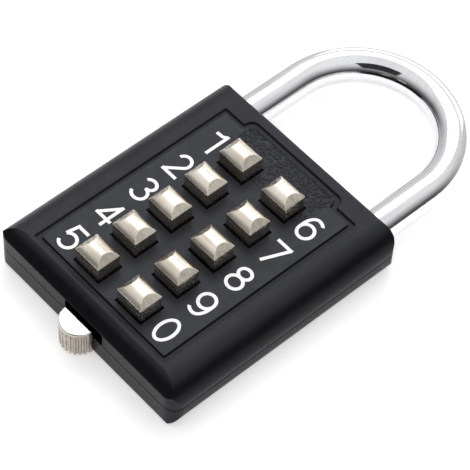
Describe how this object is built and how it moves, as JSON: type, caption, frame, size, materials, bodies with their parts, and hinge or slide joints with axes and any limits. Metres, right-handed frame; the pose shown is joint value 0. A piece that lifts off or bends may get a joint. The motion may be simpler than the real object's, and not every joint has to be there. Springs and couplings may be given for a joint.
{
  "type": "push-button combination padlock",
  "caption": "Push-button combination padlock with a round-bar shackle, domed keypad buttons and a sliding fluted release knob.",
  "frame": {"origin": "centre of the flat back face, midway between the two shackle legs", "axes": "+Z out of the keypad; +Y towards the shackle, the way it lifts; +X to the right of someone reading the numerals"},
  "size_m": [0.0418, 0.0798, 0.0134],
  "materials": {
    "casing_black": "satin black coating",
    "plate_black": "fine textured black coating",
    "numeral_white": "white paint",
    "button_nickel": "warm brushed nickel",
    "knob_silver": "satin silver",
    "shackle_chrome": "bright chrome",
    "inner_steel": "plain stamped steel",
    "spring_steel": "drawn spring wire",
    "screw_black": "black oxide"
  },
  "bodies": {
    "case": {"front_casing": "casing_black", "rear_casing": "casing_black", "face_plate": "plate_black", "numerals": "numeral_white", "guide_plate": "inner_steel", "retaining_pin": "inner_steel", "case_screws": "screw_black", "slide_spring": "spring_steel", "shackle_spring": "spring_steel", "button_spring_1": "spring_steel", "button_spring_2": "spring_steel", "button_spring_3": "spring_steel", "button_spring_4": "spring_steel", "button_spring_5": "spring_steel", "button_spring_6": "spring_steel", "button_spring_7": "spring_steel", "button_spring_8": "spring_steel", "button_spring_9": "spring_steel", "button_spring_0": "spring_steel"},
    "shackle": {"shackle": "shackle_chrome"},
    "lock_slide": {"locking_plate": "inner_steel", "release_knob": "knob_silver"},
    "button_1": {"button_1": "button_nickel"},
    "button_2": {"button_2": "button_nickel"},
    "button_3": {"button_3": "button_nickel"},
    "button_4": {"button_4": "button_nickel"},
    "button_5": {"button_5": "button_nickel"},
    "button_6": {"button_6": "button_nickel"},
    "button_7": {"button_7": "button_nickel"},
    "button_8": {"button_8": "button_nickel"},
    "button_9": {"button_9": "button_nickel"},
    "button_0": {"button_0": "button_nickel"}
  },
  "joints": [
    {"name": "shackle_lift", "type": "slide", "parent": "case", "child": "shackle", "axis": [0, 1, 0], "range_m": [0, 0.012], "deforming": ["shackle_spring"]},
    {"name": "lock_slide_travel", "type": "slide", "parent": "case", "child": "lock_slide", "axis": [1, 0, 0], "range_m": [0, 0.0017], "stiffness_N_per_m": 300, "springref_m": -0.001, "deforming": ["slide_spring"]},
    {"name": "button_press_1", "type": "slide", "parent": "case", "child": "button_1", "axis": [0, 0, -1], "range_m": [0, 0.0014], "stiffness_N_per_m": 600, "springref_m": -0.0008, "deforming": ["button_spring_1"]},
    {"name": "button_press_2", "type": "slide", "parent": "case", "child": "button_2", "axis": [0, 0, -1], "range_m": [0, 0.0014], "stiffness_N_per_m": 600, "springref_m": -0.0008, "deforming": ["button_spring_2"]},
    {"name": "button_press_3", "type": "slide", "parent": "case", "child": "button_3", "axis": [0, 0, -1], "range_m": [0, 0.0014], "stiffness_N_per_m": 600, "springref_m": -0.0008, "deforming": ["button_spring_3"]},
    {"name": "button_press_4", "type": "slide", "parent": "case", "child": "button_4", "axis": [0, 0, -1], "range_m": [0, 0.0014], "stiffness_N_per_m": 600, "springref_m": -0.0008, "deforming": ["button_spring_4"]},
    {"name": "button_press_5", "type": "slide", "parent": "case", "child": "button_5", "axis": [0, 0, -1], "range_m": [0, 0.0014], "stiffness_N_per_m": 600, "springref_m": -0.0008, "deforming": ["button_spring_5"]},
    {"name": "button_press_6", "type": "slide", "parent": "case", "child": "button_6", "axis": [0, 0, -1], "range_m": [0, 0.0014], "stiffness_N_per_m": 600, "springref_m": -0.0008, "deforming": ["button_spring_6"]},
    {"name": "button_press_7", "type": "slide", "parent": "case", "child": "button_7", "axis": [0, 0, -1], "range_m": [0, 0.0014], "stiffness_N_per_m": 600, "springref_m": -0.0008, "deforming": ["button_spring_7"]},
    {"name": "button_press_8", "type": "slide", "parent": "case", "child": "button_8", "axis": [0, 0, -1], "range_m": [0, 0.0014], "stiffness_N_per_m": 600, "springref_m": -0.0008, "deforming": ["button_spring_8"]},
    {"name": "button_press_9", "type": "slide", "parent": "case", "child": "button_9", "axis": [0, 0, -1], "range_m": [0, 0.0014], "stiffness_N_per_m": 600, "springref_m": -0.0008, "deforming": ["button_spring_9"]},
    {"name": "button_press_0", "type": "slide", "parent": "case", "child": "button_0", "axis": [0, 0, -1], "range_m": [0, 0.0014], "stiffness_N_per_m": 600, "springref_m": -0.0008, "deforming": ["button_spring_0"]}
  ]
}
